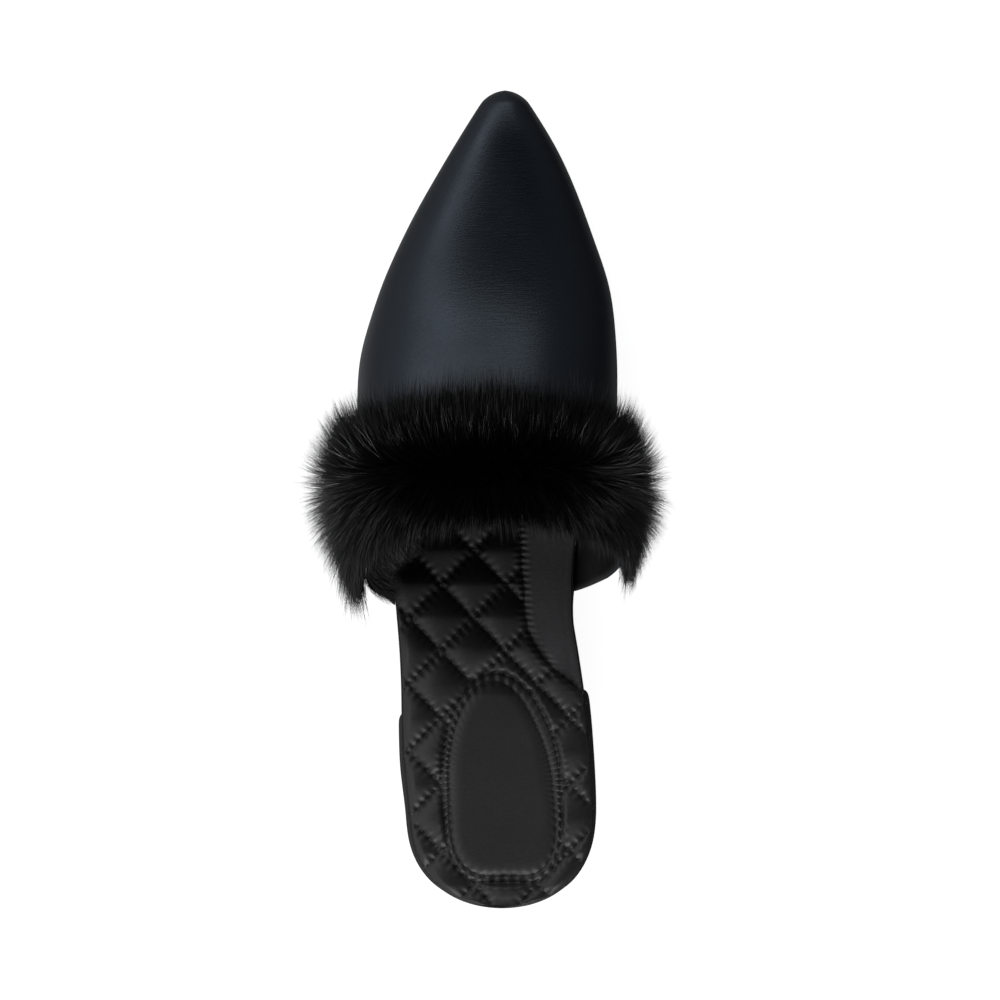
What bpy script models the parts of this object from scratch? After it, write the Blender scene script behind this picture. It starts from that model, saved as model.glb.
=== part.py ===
"""Pointed-toe slide mule for the left foot: satin vamp, fur collar, padded insole, thin outsole, low heel.

Metres, +Z up, toe along +Y, medial side along +X. The origin is the middle of the heel's rest face.
"""

import math

import bmesh
import bpy
import numpy as np
from mathutils import Vector

# Driving dimensions of the shoe
LENGTH = 0.262  # back of the heel to the tip of the toe
HEEL_WIDTH = 0.0594  # across the insole at the heel
WAIST_WIDTH = 0.0561  # across the insole at its narrowest
BALL_WIDTH = 0.0746  # across the insole at the ball
INSTEP_HEIGHT = 0.066  # floor to the crest of the vamp at the topline
HEEL_HEIGHT = 0.011  # floor to the underside of the outsole at the heel seat
TOE_SPRING = 0.0065  # floor to the underside of the outsole at the tip
OUTSOLE_THICKNESS = 0.0035
INSOLE_HEEL_THICKNESS = 0.0085
INSOLE_TOE_THICKNESS = 0.0050
ARCH_RAISE = 0.0022  # how far the footbed rises on the medial side of the arch
UPPER_WALL = 0.0018
GAP = 0.0003  # between pieces that touch

# Heel block
HEEL_BREAST = 0.0675  # back of the heel to the middle of its front face
BREAST_SKEW = 0.13  # how much further forward the medial side of the breast stands
HEEL_RIM = 0.0013  # how far the block stands out past the insole
HEEL_TAPER = 0.0014  # how much each side draws in towards the floor
BREAST_CORNER = 0.0030
HEEL_CORNER = 0.0008
BREAST_CORNER_STEPS = 3
HEEL_REST = HEEL_BREAST / 2  # back of the heel to the middle of the rest face

# Rounding of the outline at its two ends
HEEL_ROUND_LENGTH = 0.028  # how far along the foot the heel's rounding reaches
TOE_ROUND_LENGTH = 0.0045  # and the toe's
ROUND_POWER = 2.2

# Outsole and insole edges
OUTSOLE_CORNER = 0.0006
OUTSOLE_LIP = 0.0008  # how far the outsole shows past the foot of the upper
LIP_START = 0.1015  # where the outsole widens to carry the upper
LIP_RUN = 0.010
OUTSOLE_TOE_SETBACK = 0.0004
INSOLE_TOE_SETBACK = 0.0034
INSOLE_PILLOW_POWER = 5.0
INSOLE_SIDE_SHARE = 0.40  # share of the insole's thickness that is a plain side
INSOLE_TOP_PLACES = [0.0, 0.03, 0.10, 0.25, 0.50, 0.75, 0.90, 0.97, 1.0]  # across its top
THINNING_START = 0.2  # place along the length from which the insole thins towards the toe
THINNING_RUN = 0.4
ARCH_MIDDLE = 0.36  # place along the length of the arch's highest point
ARCH_SPREAD = 0.10

# Topline of the upper, measured from the back of the heel
TOPLINE_LATERAL = 0.0970
TOPLINE_MEDIAL = 0.1015
TOPLINE_CREST = 0.1270
TOPLINE_POWER = 1.25
TUCK_SHARE = 0.18  # share of the girth between the feather line and the widest point
NOSE_ROUND = 0.0090  # length over which the toe's top rolls down
NOSE_WALL_SHARE = 0.48  # share of the toe's height that is left as a wall at the tip

# Fur collar
FUR_FRONT = 0.1520  # front edge of the fur strip at the crest, from the back of the heel
FUR_FRONT_SWEEP = 0.0130  # how much further back that edge is at the strip's ends
FUR_REAR_OVERHANG = 0.0085
FUR_FRONT_OVERHANG = 0.0055
FUR_END_TRIM = 0.9  # share of the rear overhang that is lost towards the sole
FUR_DEPTH = 0.0065
FUR_MEDIAL_THINNING = 0.35  # share of the depth lost towards the medial end
FUR_SEAT = 0.0005  # from the upper to the fur's backing
FUR_END_SHARE = 0.14  # share of the girth that is bare at each end of the strip
FUR_COMB = 1.1  # how far the fur leans towards the strip's edges
FUR_PARTING = 0.45  # share across the strip from which it leans to either side
FUR_HANG = 0.35  # how far it leans down at the sides
LOCK_LENGTH = 0.0095
LOCK_VARIETY = 0.25  # share by which the locks' lengths differ
LOCK_STEP_ROUND = 7.3  # turn of that difference from one lock to the next round the strip
LOCK_STEP_ACROSS = 4.1  # and across it
LOCK_FIRST = 6  # first and last segment of the fur's profile that carry locks
LOCK_LAST = 12

# Fineness of the meshes
GIRTH_STEPS = 36
SHARP_EDGE = math.radians(40)  # from which an edge is shaded sharp
VAMP_STEPS = 20
NOSE_STEPS = 6
BODY_STEPS = 22
END_STEPS = 7

# Outline of the insole: place along the length, the width it follows, lateral share, medial share
OUTLINE = [
    (0.000, HEEL_WIDTH, 0.463, 0.485),
    (0.115, HEEL_WIDTH, 0.485, 0.498),
    (0.200, HEEL_WIDTH, 0.521, 0.479),
    (0.286, WAIST_WIDTH, 0.561, 0.463),
    (0.374, WAIST_WIDTH, 0.592, 0.408),
    (0.450, BALL_WIDTH, 0.475, 0.322),
    (0.538, BALL_WIDTH, 0.531, 0.391),
    (0.649, BALL_WIDTH, 0.552, 0.448),
    (0.740, BALL_WIDTH, 0.479, 0.428),
    (0.828, BALL_WIDTH, 0.352, 0.339),
    (0.916, BALL_WIDTH, 0.184, 0.221),
    (1.000, BALL_WIDTH, 0.008, 0.051),
]

# Underside of the outsole: place along the length, the height it follows, share of it
UNDERSIDE = [
    (0.000, HEEL_HEIGHT, 1.10),
    (0.115, HEEL_HEIGHT, 1.04),
    (0.230, HEEL_HEIGHT, 0.97),
    (0.305, HEEL_HEIGHT, 0.78),
    (0.382, HEEL_HEIGHT, 0.44),
    (0.458, HEEL_HEIGHT, 0.14),
    (0.535, HEEL_HEIGHT, 0.0),
    (0.735, TOE_SPRING, 0.0),
    (0.820, TOE_SPRING, 0.18),
    (0.916, TOE_SPRING, 0.58),
    (1.000, TOE_SPRING, 1.00),
]

# Sections of the last: place along the length, lateral and medial bulge past the feather line as
# shares of the ball width, height of the widest point as a share of the section's height, place of
# the crest across the section, fullness of the arch, crest height as a share of the instep height
SECTIONS = [
    (0.330, 0.078, 0.172, 0.33, 0.56, 2.00, 1.130),
    (0.401, 0.088, 0.190, 0.33, 0.56, 2.00, 1.088),
    (0.439, 0.094, 0.182, 0.33, 0.56, 2.00, 1.050),
    (0.485, 0.083, 0.145, 0.33, 0.56, 2.05, 1.000),
    (0.534, 0.062, 0.091, 0.33, 0.56, 2.12, 0.912),
    (0.592, 0.040, 0.043, 0.33, 0.56, 2.22, 0.806),
    (0.649, 0.030, 0.028, 0.33, 0.55, 2.28, 0.709),
    (0.725, 0.028, 0.028, 0.34, 0.54, 2.30, 0.597),
    (0.802, 0.025, 0.025, 0.36, 0.53, 2.25, 0.500),
    (0.878, 0.021, 0.021, 0.38, 0.52, 2.20, 0.418),
    (0.947, 0.017, 0.017, 0.40, 0.51, 2.10, 0.352),
    (1.000, 0.012, 0.012, 0.45, 0.50, 2.00, 0.300),
]

# Cross-section of the fur over its strip: place across the strip (0 rear edge, 1 front edge, past
# them in overhangs) and share of the depth
FUR_PROFILE = [
    (0.00, 0.0),
    (0.25, 0.0),
    (0.50, 0.0),
    (0.75, 0.0),
    (1.00, 0.0),
    (1.60, 0.18),
    (2.00, 0.48),
    (1.60, 0.78),
    (0.90, 0.96),
    (0.62, 1.00),
    (0.33, 1.00),
    (0.05, 0.96),
    (-0.60, 0.78),
    (-1.00, 0.48),
    (-0.70, 0.16),
]

# A lock of fur: reach along it, width left and droop, as shares of its length or its base
LOCK_SHAPE = [
    (0.40, 0.80, 0.02),
    (0.75, 0.46, 0.10),
    (1.00, 0.10, 0.22),
]


def monotone_curve(places, values):
    """A smooth curve through the values that never overshoots them."""
    x = np.array(places, float)
    y = np.array(values, float)
    step = np.diff(x)
    slope = np.diff(y) / step
    tangent = np.zeros(len(x))
    tangent[0] = slope[0]
    tangent[-1] = slope[-1]
    for i in range(1, len(x) - 1):
        if slope[i - 1] * slope[i] > 0:
            before = 2 * step[i] + step[i - 1]
            after = step[i] + 2 * step[i - 1]
            tangent[i] = (before + after) / (before / slope[i - 1] + after / slope[i])

    def value(place):
        i = int(np.clip(np.searchsorted(x, place) - 1, 0, len(step) - 1))
        t = (place - x[i]) / step[i]
        if t < 0:
            return y[0] + (place - x[0]) * tangent[0]
        if t > 1:
            return y[-1] + (place - x[-1]) * tangent[-1]
        return (
            y[i] * (1 + 2 * t) * (1 - t) ** 2
            + tangent[i] * step[i] * t * (1 - t) ** 2
            + y[i + 1] * t * t * (3 - 2 * t)
            + tangent[i + 1] * step[i] * t * t * (t - 1)
        )

    return value


def column(table, index):
    """One column of a table, as a curve over the place along the length."""
    return monotone_curve([row[0] for row in table], [row[index] for row in table])


def named_column(table, index):
    """As column, for a share of the size that stands in each row's second place."""
    return monotone_curve([row[0] for row in table], [row[1] * row[index] for row in table])


lateral_reach = named_column(OUTLINE, 2)
medial_reach = named_column(OUTLINE, 3)
underside_height = named_column(UNDERSIDE, 2)
lateral_bulge = column(SECTIONS, 1)
medial_bulge = column(SECTIONS, 2)
widest_share = column(SECTIONS, 3)
crest_place = column(SECTIONS, 4)
fullness = column(SECTIONS, 5)
crest_share = column(SECTIONS, 6)


def end_round(distance, reach):
    """Share of the full width that is left at a distance from a rounded end."""
    if distance >= reach:
        return 1.0
    return (1 - (1 - max(distance, 0.0) / reach) ** ROUND_POWER) ** (1 / ROUND_POWER)


def smooth_step(value):
    t = min(max(value, 0.0), 1.0)
    return t * t * (3 - 2 * t)


def edges(station, lateral_outset, medial_outset, heel_end, toe_end):
    """Lateral and medial edge, in x, of the outline set out from the insole's."""
    along = station / LENGTH
    lateral = -lateral_reach(along) - lateral_outset
    medial = medial_reach(along) + medial_outset
    middle = (lateral + medial) / 2
    share = end_round(station - heel_end, HEEL_ROUND_LENGTH) * end_round(toe_end - station, TOE_ROUND_LENGTH)
    return middle + (lateral - middle) * share, middle + (medial - middle) * share


def underside(station):
    return underside_height(station / LENGTH)


def outsole_top(station):
    return underside(station) + OUTSOLE_THICKNESS


def stations(start, end, end_rounded=True):
    """Places of the sections, closer together where an end is round."""
    turns = [math.pi / 2 * i / END_STEPS for i in range(END_STEPS)]
    first = [start + HEEL_ROUND_LENGTH * (1 - math.cos(a)) for a in turns]
    if not end_rounded:
        return first + list(np.linspace(start + HEEL_ROUND_LENGTH, end, BODY_STEPS // 2))
    last = [end - TOE_ROUND_LENGTH * (1 - math.cos(a)) for a in reversed(turns)]
    return first + list(np.linspace(start + HEEL_ROUND_LENGTH, end - TOE_ROUND_LENGTH, BODY_STEPS)) + last


def material(name, colour, roughness):
    made = bpy.data.materials.new(name)
    made.use_nodes = True
    shader = made.node_tree.nodes["Principled BSDF"]
    shader.inputs["Base Color"].default_value = (*colour, 1.0)
    shader.inputs["Roughness"].default_value = roughness
    shader.inputs["Metallic"].default_value = 0.0
    return made


def add_mesh(name, mesh, finish, collection):
    made = bpy.data.objects.new(name, mesh)
    collection.objects.link(made)
    mesh.materials.append(finish)
    mesh.shade_smooth()
    mesh.set_sharp_from_angle(angle=SHARP_EDGE)
    return made


def loft_mesh(name, rings, closed_rings=True):
    """Skin over a row of rings. An end ring that isn't drawn to a line gets a cap."""
    shape = bmesh.new()
    rows = [[shape.verts.new(p) for p in ring] for ring in rings]
    around = len(rings[0])
    last = around if closed_rings else around - 1
    for near, far in zip(rows, rows[1:]):
        for i in range(last):
            j = (i + 1) % around
            shape.faces.new((near[i], near[j], far[j], far[i]))
    if closed_rings:
        for row, ring in ((rows[0], rings[0]), (rows[-1], rings[-1])):
            if max(p[0] for p in ring) - min(p[0] for p in ring) > GAP:
                shape.faces.new(row)
    bmesh.ops.remove_doubles(shape, verts=shape.verts, dist=1e-6)
    bmesh.ops.recalc_face_normals(shape, faces=shape.faces)
    if shape.calc_volume(signed=True) < 0:
        bmesh.ops.reverse_faces(shape, faces=shape.faces)
    mesh = bpy.data.meshes.new(name)
    shape.to_mesh(mesh)
    shape.free()
    return mesh


def slab_ring(station, left, right, low, high, corner, taper=0.0):
    """Ring of a plate with its four edges taken off, its foot drawn in by the taper."""
    across = min(corner, (right - left) / 4)
    draw = min(taper, (right - left) / 4)
    corners = [
        (left + draw + across, low),
        (right - draw - across, low),
        (right - draw, low + corner),
        (right, high - corner),
        (right - across, high),
        (left + across, high),
        (left, high - corner),
        (left + draw, low + corner),
    ]
    return [(x, station - HEEL_REST, z) for x, z in corners]


def outsole(finish, collection):
    """Thin plate under the whole foot, wider where it carries the upper."""
    toe_end = LENGTH - OUTSOLE_TOE_SETBACK
    rings = []
    for station in stations(HEEL_RIM, toe_end):
        carry = smooth_step((station - LIP_START) / LIP_RUN)
        outset = carry * (UPPER_WALL + GAP + OUTSOLE_LIP)
        left, right = edges(station, outset, outset, HEEL_RIM, toe_end)
        low = underside(station)
        rings.append(slab_ring(station, left, right, low, low + OUTSOLE_THICKNESS, OUTSOLE_CORNER))
    return add_mesh("outsole", loft_mesh("outsole", rings), finish, collection)


def heel(finish, collection):
    """Low block under the heel seat, with a slanted breast and rounded corners."""
    steps = range(1, BREAST_CORNER_STEPS + 1)
    corner_turns = [math.pi / 2 * i / BREAST_CORNER_STEPS for i in steps]
    body = stations(0.0, HEEL_BREAST - BREAST_CORNER, end_rounded=False)
    corner = [HEEL_BREAST - BREAST_CORNER * (1 - math.sin(a)) for a in corner_turns]
    rings = []
    for station in body + corner:
        into_corner = max(station - (HEEL_BREAST - BREAST_CORNER), 0.0) / BREAST_CORNER
        inset = BREAST_CORNER * (1 - math.sqrt(max(1 - into_corner**2, 0.0)))
        left, right = edges(station, HEEL_RIM - inset, HEEL_RIM - inset, 0.0, LENGTH)
        high = underside(station) - GAP
        ring = slab_ring(station, left, right, 0.0, high, HEEL_CORNER, HEEL_TAPER)
        skew = BREAST_SKEW * smooth_step(station / HEEL_BREAST)
        skewed = []
        for x, y, z in ring:
            follow = underside(station + skew * x) - underside(station)
            skewed.append((x, y + skew * x, z + follow * z / high))
        rings.append(skewed)
    return add_mesh("heel", loft_mesh("heel", rings), finish, collection)


def insole_thickness(station):
    fade = smooth_step((station / LENGTH - THINNING_START) / THINNING_RUN)
    return INSOLE_HEEL_THICKNESS + (INSOLE_TOE_THICKNESS - INSOLE_HEEL_THICKNESS) * fade


def arch(station):
    """Share of the arch's raise at a station."""
    return math.exp(-(((station / LENGTH - ARCH_MIDDLE) / ARCH_SPREAD) ** 2))


def insole(finish, collection):
    """Padded footbed: plain sides, a pillowed top and a raised medial arch."""
    toe_end = LENGTH - INSOLE_TOE_SETBACK
    rings = []
    for station in stations(HEEL_RIM, toe_end):
        left, right = edges(station, 0.0, 0.0, HEEL_RIM, toe_end)
        low = outsole_top(station) + GAP
        thickness = insole_thickness(station)
        side = thickness * INSOLE_SIDE_SHARE
        ring = [(right, station - HEEL_REST, low), (left, station - HEEL_REST, low)]
        for place in INSOLE_TOP_PLACES:
            pillow = (1 - abs(2 * place - 1) ** INSOLE_PILLOW_POWER) ** (1 / INSOLE_PILLOW_POWER)
            raise_here = ARCH_RAISE * arch(station) * place**2 * pillow
            height = low + side + (thickness - side) * pillow + raise_here
            ring.append((left + (right - left) * place, station - HEEL_REST, height))
        rings.append(ring)
    return add_mesh("insole", loft_mesh("insole", rings), finish, collection)


def topline(girth):
    """Station of the topline at a place round the girth, 0 lateral and 1 medial."""
    foot = TOPLINE_LATERAL + (TOPLINE_MEDIAL - TOPLINE_LATERAL) * girth
    return foot + (TOPLINE_CREST - foot) * max(math.sin(math.pi * girth), 0.0) ** TOPLINE_POWER


def upper_point(station, girth):
    """Point on the outside of the upper, from the lateral feather line over the crest."""
    along = station / LENGTH
    foot = UPPER_WALL + GAP
    bulges = (lateral_bulge(along) * BALL_WIDTH, medial_bulge(along) * BALL_WIDTH)
    feather = edges(station, foot, foot, 0.0, LENGTH)
    widest = edges(station, foot + bulges[0], foot + bulges[1], 0.0, LENGTH)
    crest_x = widest[0] + (widest[1] - widest[0]) * crest_place(along)
    low = outsole_top(station) + GAP
    roll = min(max((LENGTH - station) / NOSE_ROUND, 0.0), 1.0)
    kept = NOSE_WALL_SHARE + (1 - NOSE_WALL_SHARE) * math.sqrt(1 - (1 - roll) ** 2)
    high = low + (crest_share(along) * INSTEP_HEIGHT - low) * kept
    middle = low + (high - low) * widest_share(along)
    side = 0 if girth <= 0.5 else 1
    rise = girth if side == 0 else 1 - girth
    if rise < TUCK_SHARE:
        turn = math.pi / 2 * (1 - rise / TUCK_SHARE)
        x = feather[side] + (widest[side] - feather[side]) * math.cos(turn)
        z = middle - (middle - low) * math.sin(turn)
    else:
        turn = math.pi / 2 * (rise - TUCK_SHARE) / (0.5 - TUCK_SHARE)
        power = 2 / fullness(along)
        x = crest_x + (widest[side] - crest_x) * max(math.cos(turn), 0.0) ** power
        z = middle + (high - middle) * math.sin(turn) ** power
    return Vector((x, station - HEEL_REST, z))


def upper_frame(station, girth):
    """A point on the upper with its outward normal and its direction towards the toe."""
    small = 1e-4
    here = upper_point(station, girth)
    forward = upper_point(station + small, girth) - here
    around = upper_point(station, girth + small) - upper_point(station, girth - small)
    return here, around.cross(forward).normalized(), forward.normalized()


def upper(finish, collection):
    """Hollow vamp: an open surface from the topline to the tip, given its wall inwards."""
    girths = [i / GIRTH_STEPS for i in range(GIRTH_STEPS + 1)]
    nose = LENGTH - TOE_ROUND_LENGTH
    rows = []
    for i in range(VAMP_STEPS):
        share = i / VAMP_STEPS
        rows.append([upper_point(topline(g) + (nose - topline(g)) * share, g) for g in girths])
    for i in range(NOSE_STEPS + 1):
        station = nose + TOE_ROUND_LENGTH * math.sin(math.pi / 2 * i / NOSE_STEPS)
        rows.append([upper_point(station, g) for g in girths])
    mesh = loft_mesh("upper", rows, closed_rings=False)
    made = add_mesh("upper", mesh, finish, collection)
    outward = sum(f.normal.z for f in mesh.polygons) > 0
    shell = made.modifiers.new("wall", "SOLIDIFY")
    shell.thickness = UPPER_WALL
    shell.offset = -1.0 if outward else 1.0
    shell.use_rim = True
    return made


def fur_point(girth, place, depth):
    """Point of the fur over its strip, with the normal and the forward direction there."""
    arch_over = math.sin(math.pi * girth)
    rear = topline(girth)
    front = FUR_FRONT - FUR_FRONT_SWEEP * (1 - arch_over)
    station = rear + (front - rear) * min(max(place, 0.0), 1.0)
    station += min(place, 0.0) * FUR_REAR_OVERHANG * (1 - FUR_END_TRIM * (1 - arch_over))
    station += max(place - 1, 0.0) * FUR_FRONT_OVERHANG
    here, normal, forward = upper_frame(station, girth)
    return here + normal * (FUR_SEAT + depth), normal, forward


def fur_fullness(girth):
    """Share of the fur's depth: thinner at both ends and towards the medial side."""
    to_end = min(girth, 1 - girth) - FUR_END_SHARE
    closing = end_round(to_end + FUR_END_SHARE / 4, FUR_END_SHARE)
    return closing * (1 - FUR_MEDIAL_THINNING * smooth_step(2 * girth - 1))


def fur_body():
    """Saddle-shaped body of the fur, one ring for each of the upper's places round the girth."""
    first = round(FUR_END_SHARE * GIRTH_STEPS)
    girths = [i / GIRTH_STEPS for i in range(first, GIRTH_STEPS - first + 1)]
    rings = []
    for girth in girths:
        depth = FUR_DEPTH * fur_fullness(girth)
        rings.append([fur_point(girth, place, share * depth)[0] for place, share in FUR_PROFILE])
    return girths, loft_mesh("fur_trim", rings)


def lock_heading(girth, place):
    """Way that a lock points: out of the fur, combed off its two edges and down at the sides."""
    normal, forward = fur_point(girth, place, 0.0)[1:]
    comb = forward * (place - FUR_PARTING) * FUR_COMB
    hang = Vector((0, 0, -FUR_HANG)) * (1 - math.sin(math.pi * girth))
    return (normal + comb + hang).normalized()


def grow_lock(shape, face, heading, length):
    """Draw one face of the fur out into a tapered lock whose tip droops."""
    middle = face.calc_center_median()
    corners = [vert.co - middle for vert in face.verts]
    for reach, width, droop in LOCK_SHAPE:
        face = bmesh.ops.extrude_discrete_faces(shape, faces=[face])["faces"][0]
        centre = middle + (heading * reach + Vector((0, 0, -droop))) * length
        for vert, corner in zip(face.verts, corners):
            vert.co = centre + corner * width


def fur_trim(finish, collection):
    """Deep fur round the collar: its body with the locks drawn out of it."""
    girths, mesh = fur_body()
    shape = bmesh.new()
    shape.from_mesh(mesh)
    body = list(shape.verts)
    ring_size = len(FUR_PROFILE)
    for column_number, girth_pair in enumerate(zip(girths, girths[1:])):
        girth = sum(girth_pair) / 2
        for row in range(LOCK_FIRST, LOCK_LAST + 1):
            near = body[column_number * ring_size + row]
            far = body[(column_number + 1) * ring_size + row + 1]
            face = next(f for f in near.link_faces if far in f.verts)
            place = (FUR_PROFILE[row][0] + FUR_PROFILE[row + 1][0]) / 2
            heading = (lock_heading(girth, place) + face.normal).normalized()
            turn = LOCK_STEP_ROUND * column_number + LOCK_STEP_ACROSS * row
            variety = 1 + LOCK_VARIETY * math.sin(turn)
            grow_lock(shape, face, heading, LOCK_LENGTH * fur_fullness(girth) * variety)
    shape.to_mesh(mesh)
    shape.free()
    return add_mesh("fur_trim", mesh, finish, collection)


def main():
    for old in list(bpy.data.objects):
        bpy.data.objects.remove(old)
    shoe = bpy.data.collections.new("slide_mule")
    bpy.context.scene.collection.children.link(shoe)
    rubber = material("black_rubber", (0.012, 0.012, 0.013), 0.55)
    quilt = material("black_quilted_satin", (0.014, 0.013, 0.015), 0.45)
    satin = material("blue_black_satin", (0.008, 0.010, 0.015), 0.38)
    fur = material("black_fur", (0.004, 0.004, 0.005), 0.70)
    outsole(rubber, shoe)
    heel(rubber, shoe)
    insole(quilt, shoe)
    upper(satin, shoe)
    fur_trim(fur, shoe)


main()
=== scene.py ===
import math

import bmesh
import bpy
import numpy as np
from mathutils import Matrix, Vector
from mathutils.bvhtree import BVHTree


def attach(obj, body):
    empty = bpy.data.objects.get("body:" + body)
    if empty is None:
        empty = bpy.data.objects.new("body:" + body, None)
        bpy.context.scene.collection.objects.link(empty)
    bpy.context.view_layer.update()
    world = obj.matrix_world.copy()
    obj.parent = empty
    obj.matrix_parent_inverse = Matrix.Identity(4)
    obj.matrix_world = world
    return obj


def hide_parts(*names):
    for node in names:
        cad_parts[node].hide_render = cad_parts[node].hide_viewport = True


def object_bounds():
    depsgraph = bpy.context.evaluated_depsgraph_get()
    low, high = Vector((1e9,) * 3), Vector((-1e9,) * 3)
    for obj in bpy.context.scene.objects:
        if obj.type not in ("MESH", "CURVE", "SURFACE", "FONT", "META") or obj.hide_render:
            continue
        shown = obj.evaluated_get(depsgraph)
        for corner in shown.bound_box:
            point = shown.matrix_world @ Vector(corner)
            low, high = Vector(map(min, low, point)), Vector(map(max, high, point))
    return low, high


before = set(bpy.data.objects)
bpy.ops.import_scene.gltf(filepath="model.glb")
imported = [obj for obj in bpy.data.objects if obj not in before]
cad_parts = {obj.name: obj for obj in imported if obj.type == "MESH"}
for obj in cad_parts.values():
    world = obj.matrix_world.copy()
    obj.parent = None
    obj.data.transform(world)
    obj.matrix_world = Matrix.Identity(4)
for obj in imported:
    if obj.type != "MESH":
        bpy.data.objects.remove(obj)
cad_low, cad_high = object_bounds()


# Outsole
# One thin sheet of black rubber, cut to the foot's outline and cemented under the lasted upper.
# Its top edge is buffed, its side is smooth and its tread is a fine pebble.

RUBBER_BLACK = (0.011, 0.011, 0.012)
RUBBER_PEBBLE = 0.0011  # size of the tread's pebbles
SHARP_EDGE = math.radians(38)


def fine_form(node, name, levels, crease):
    """A finer copy of a solid: its triangles joined back into quads, then divided smooth."""
    shape = bmesh.new()
    shape.from_mesh(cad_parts[node].data)
    bmesh.ops.remove_doubles(shape, verts=shape.verts, dist=2e-6)
    bmesh.ops.join_triangles(
        shape,
        faces=shape.faces,
        angle_face_threshold=math.radians(60),
        angle_shape_threshold=math.radians(90),
        topology_influence=2.0,
    )
    layer = shape.edges.layers.float.new("crease_edge")
    for edge in shape.edges:
        if edge.calc_face_angle(0.0) > SHARP_EDGE:
            edge[layer] = crease
    mesh = bpy.data.meshes.new(name)
    shape.to_mesh(mesh)
    shape.free()
    return finished(name, mesh, levels)


def finished(name, mesh, levels=0):
    """Link a mesh as a smooth piece and divide it, with the result kept in the mesh."""
    piece = bpy.data.objects.new(name, mesh)
    bpy.context.scene.collection.objects.link(piece)
    if levels:
        divide = piece.modifiers.new("divide", "SUBSURF")
        divide.levels = levels
        divide.render_levels = levels
        bpy.context.view_layer.update()
        divided = bpy.data.meshes.new_from_object(
            piece.evaluated_get(bpy.context.evaluated_depsgraph_get())
        )
        piece.modifiers.clear()
        piece.data = divided
        divided.name = name
    piece.data.shade_smooth()
    return piece


def dress(piece, material, slot, *nodes):
    """Give a piece its material, the solids it stands for and its body; the slot is not used."""
    piece.data.materials.clear()
    piece.data.materials.append(material)
    if nodes:
        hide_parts(*nodes)
    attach(piece, "root")
    return piece


def new_group(name, inputs, outputs):
    """A shader node group with its sockets, its input node and its output node."""
    group = bpy.data.node_groups.new(name, "ShaderNodeTree")
    for label, kind, value in inputs:
        socket = group.interface.new_socket(label, in_out="INPUT", socket_type=kind)
        if value is not None:
            socket.default_value = value
    for label, kind in outputs:
        group.interface.new_socket(label, in_out="OUTPUT", socket_type=kind)
    return group, group.nodes.new("NodeGroupInput"), group.nodes.new("NodeGroupOutput")


def add_node(tree, kind, **settings):
    """A node with its properties set, and its unlinked inputs by name."""
    node = tree.nodes.new(kind)
    for key, value in settings.items():
        if hasattr(node, key):
            setattr(node, key, value)
        else:
            node.inputs[key.replace("_", " ").title()].default_value = value
    return node


def new_material(name, colour, roughness, **sockets):
    """A Principled material with constants on the shader's own sockets."""
    material = bpy.data.materials.new(name)
    material.use_nodes = True
    shader = material.node_tree.nodes["Principled BSDF"]
    shader.inputs["Base Color"].default_value = (*colour, 1.0)
    shader.inputs["Roughness"].default_value = roughness
    for label, value in sockets.items():
        shader.inputs[label.replace("_", " ")].default_value = value
    return material, material.node_tree, shader


def fine_grain_group():
    """Fine grain: a mottled mask and a bumped normal, from noise at one size in metres."""
    group, given, result = new_group(
        "fine_grain",
        (
            ("Size", "NodeSocketFloat", 0.001),
            ("Height", "NodeSocketFloat", 0.0001),
            ("Normal", "NodeSocketVector", None),
        ),
        (("Mask", "NodeSocketFloat"), ("Normal", "NodeSocketVector")),
    )
    place = add_node(group, "ShaderNodeTexCoord")
    scale = add_node(group, "ShaderNodeMath", operation="DIVIDE")
    scale.inputs[0].default_value = 1.0
    noise = add_node(group, "ShaderNodeTexNoise", detail=2.0, roughness=0.6)
    bump = add_node(group, "ShaderNodeBump", strength=1.0)
    link = group.links.new
    link(given.outputs["Size"], scale.inputs[1])
    link(place.outputs["Object"], noise.inputs["Vector"])
    link(scale.outputs[0], noise.inputs["Scale"])
    link(noise.outputs["Fac"], bump.inputs["Height"])
    link(given.outputs["Height"], bump.inputs["Distance"])
    link(given.outputs["Normal"], bump.inputs["Normal"])
    link(noise.outputs["Fac"], result.inputs["Mask"])
    link(bump.outputs["Normal"], result.inputs["Normal"])
    return group


fine_grain = fine_grain_group()


def place_group(tree, group, **values):
    """An instance of a node group in a material, with its own values."""
    node = tree.nodes.new("ShaderNodeGroup")
    node.node_tree = group
    for label, value in values.items():
        node.inputs[label.replace("_", " ")].default_value = value
    return node


def vary(tree, mask, low, high):
    """A value that runs from low to high with a mask."""
    node = tree.nodes.new("ShaderNodeMapRange")
    node.inputs["To Min"].default_value = low
    node.inputs["To Max"].default_value = high
    tree.links.new(mask, node.inputs["Value"])
    return node.outputs["Result"]


def vary_colour(tree, mask, dark, light):
    """A colour that runs from dark to light with a mask."""
    node = tree.nodes.new("ShaderNodeMix")
    node.data_type = "RGBA"
    node.inputs[6].default_value = (*dark, 1.0)
    node.inputs[7].default_value = (*light, 1.0)
    tree.links.new(mask, node.inputs[0])
    return node.outputs[2]


def grey(colour, share):
    """A colour made lighter or darker by a share."""
    return tuple(channel * share for channel in colour)


def rubber(name, pebble):
    material, tree, shader = new_material(name, RUBBER_BLACK, 0.55)
    grain = place_group(tree, fine_grain, Size=pebble, Height=0.00008)
    tree.links.new(grain.outputs["Normal"], shader.inputs["Normal"])
    tree.links.new(vary(tree, grain.outputs["Mask"], 0.42, 0.66), shader.inputs["Roughness"])
    tree.links.new(
        vary_colour(tree, grain.outputs["Mask"], grey(RUBBER_BLACK, 0.7), grey(RUBBER_BLACK, 1.4)),
        shader.inputs["Base Color"],
    )
    return material


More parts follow.
